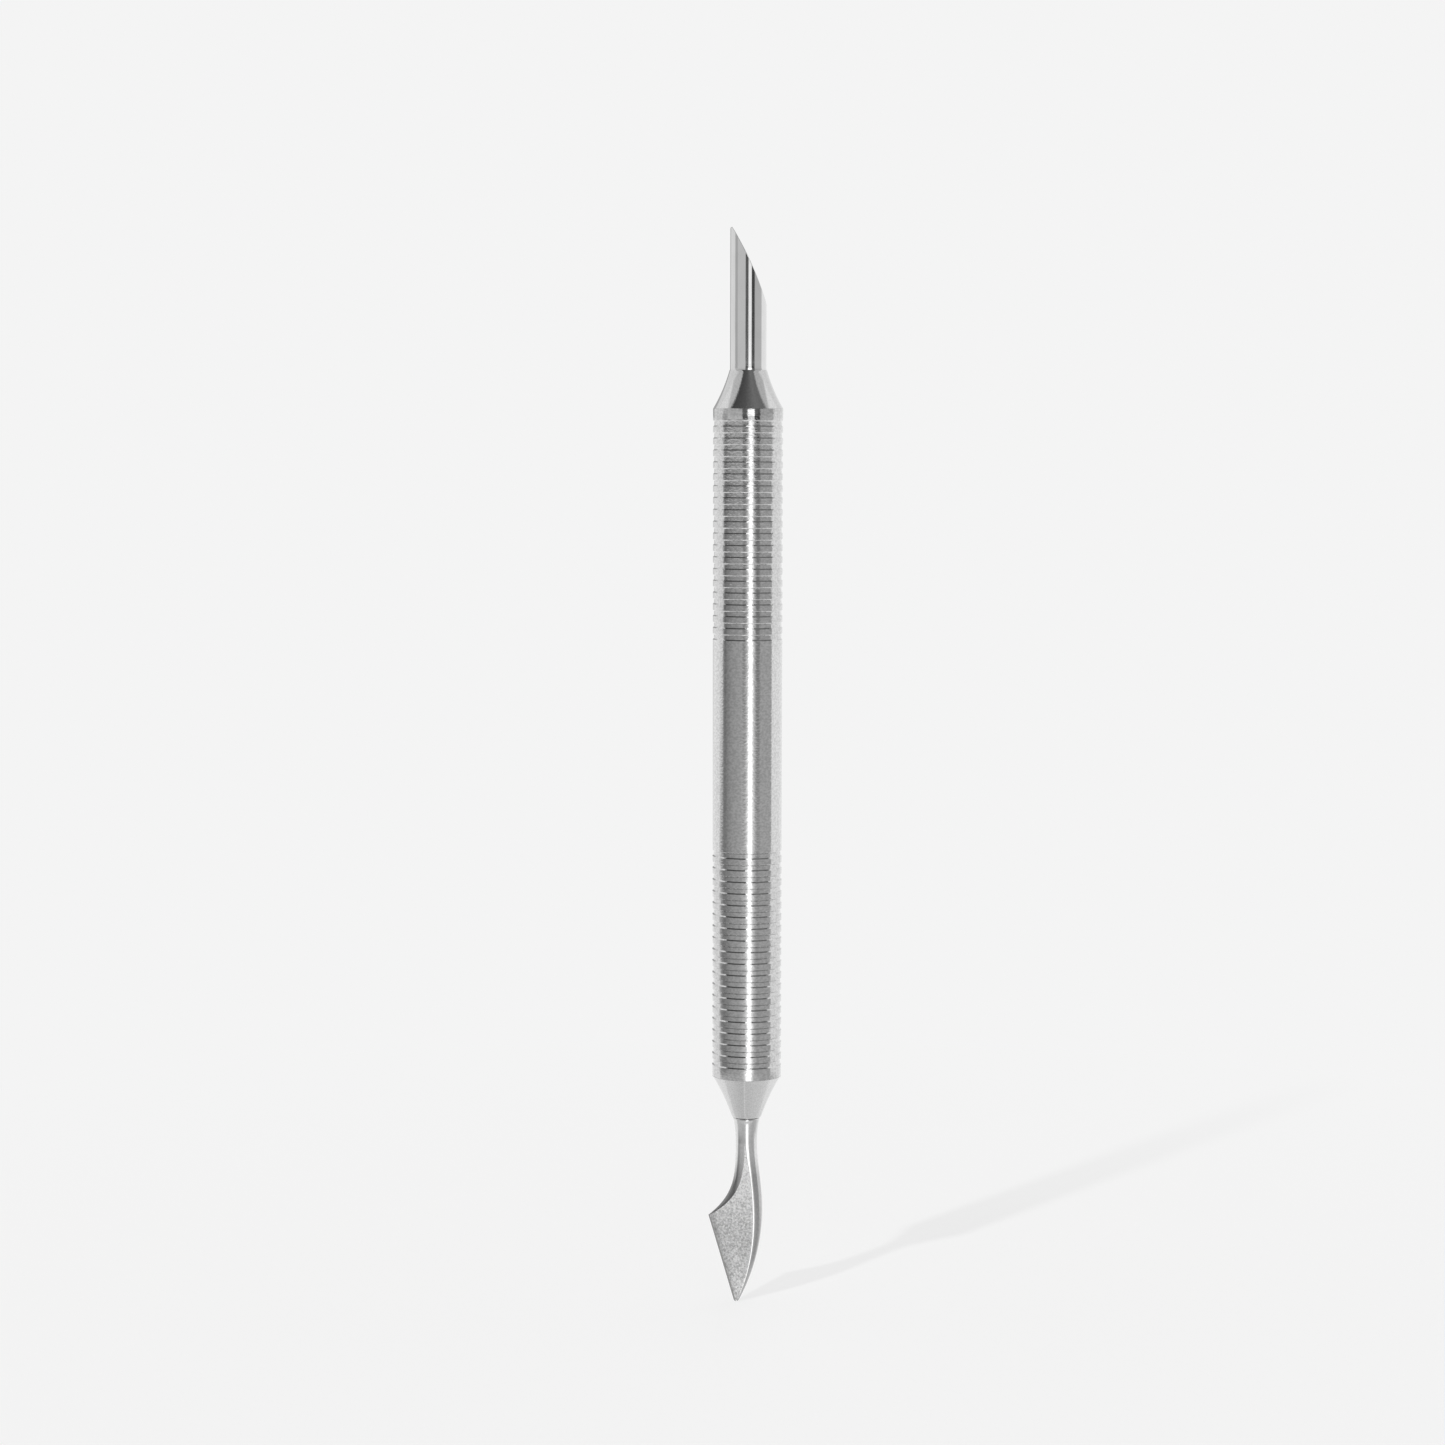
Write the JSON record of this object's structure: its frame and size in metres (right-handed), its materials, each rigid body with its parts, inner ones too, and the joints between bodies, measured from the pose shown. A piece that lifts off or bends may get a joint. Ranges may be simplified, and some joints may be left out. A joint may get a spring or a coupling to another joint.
{
  "type": "cuticle pusher",
  "caption": "Double-ended steel cuticle pusher: grooved hollow handle, slanted hollow-backed scoop at one end, hatchet blade with a rounded spine at the other.",
  "frame": {"origin": "on the handle's axis, at the middle of the smooth grip", "axes": "+Z along the handle towards the scoop, -Y towards the front, where the scoop's rounded back and the blade's face are seen, +X towards the blade's spine"},
  "size_m": [0.0094, 0.009, 0.1392],
  "materials": {
    "turned_steel": "fine-turned satin, with turning marks round the handle",
    "collar_steel": "satin, finely ground",
    "polished_steel": "polished along its length",
    "blasted_steel": "bead-blasted matte faces with a polished spine and neck"
  },
  "bodies": {
    "root": {"handle_tube": "turned_steel", "scoop_collar": "collar_steel", "blade_collar": "collar_steel", "scoop_pusher": "polished_steel", "hatchet_blade": "blasted_steel"}
  },
  "joints": []
}
